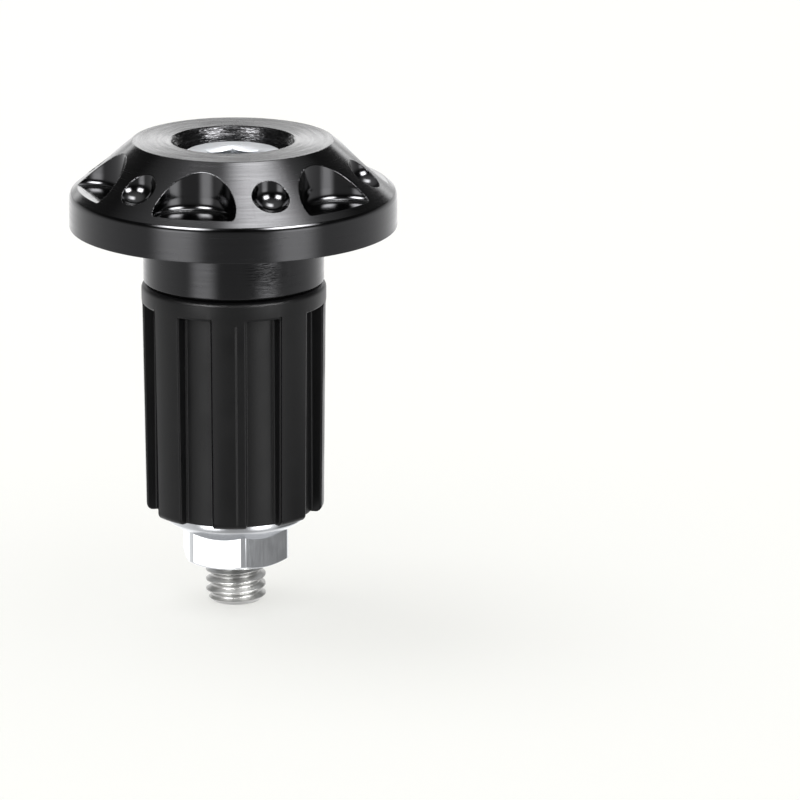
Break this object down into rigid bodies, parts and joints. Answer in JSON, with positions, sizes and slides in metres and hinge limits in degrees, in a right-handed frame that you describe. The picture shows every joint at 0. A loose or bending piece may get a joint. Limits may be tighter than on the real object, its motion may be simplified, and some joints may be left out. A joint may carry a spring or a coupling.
{
  "type": "bar end weight",
  "caption": "Turned and milled end weight for a handlebar, held in the bar's open end by a screw that squeezes a ribbed rubber sleeve.",
  "frame": {"origin": "on the axis, in the plane of the cap's underside that seats against the end of the bar", "axes": "+Z along the axis, out of the bar towards the cap's flat face; -Y is the front in the picture's view"},
  "size_m": [0.032, 0.032, 0.0465],
  "materials": {
    "black_anodised_aluminium": "fine turned, black anodised",
    "zinc_plated_steel": "bright zinc plated",
    "black_rubber": "moulded, satin"
  },
  "bodies": {
    "cap": {"weight_cap": "black_anodised_aluminium", "expander_sleeve": "black_rubber"},
    "screw": {"clamp_screw": "zinc_plated_steel"},
    "nut": {"flange_nut": "zinc_plated_steel"}
  },
  "joints": [
    {"name": "clamp_turn", "type": "hinge", "parent": "cap", "child": "screw", "pos_m": [0, 0, 0], "axis": [0, 0, -1], "range_deg": [0, 1080]},
    {"name": "nut_travel", "type": "slide", "parent": "cap", "child": "nut", "axis": [0, 0, 1], "range_m": [0, 0.003], "deforming": ["expander_sleeve"]}
  ],
  "couplings": [
    {"joint": "nut_travel", "follows": "clamp_turn", "m_per_rad": 0.00015915}
  ]
}
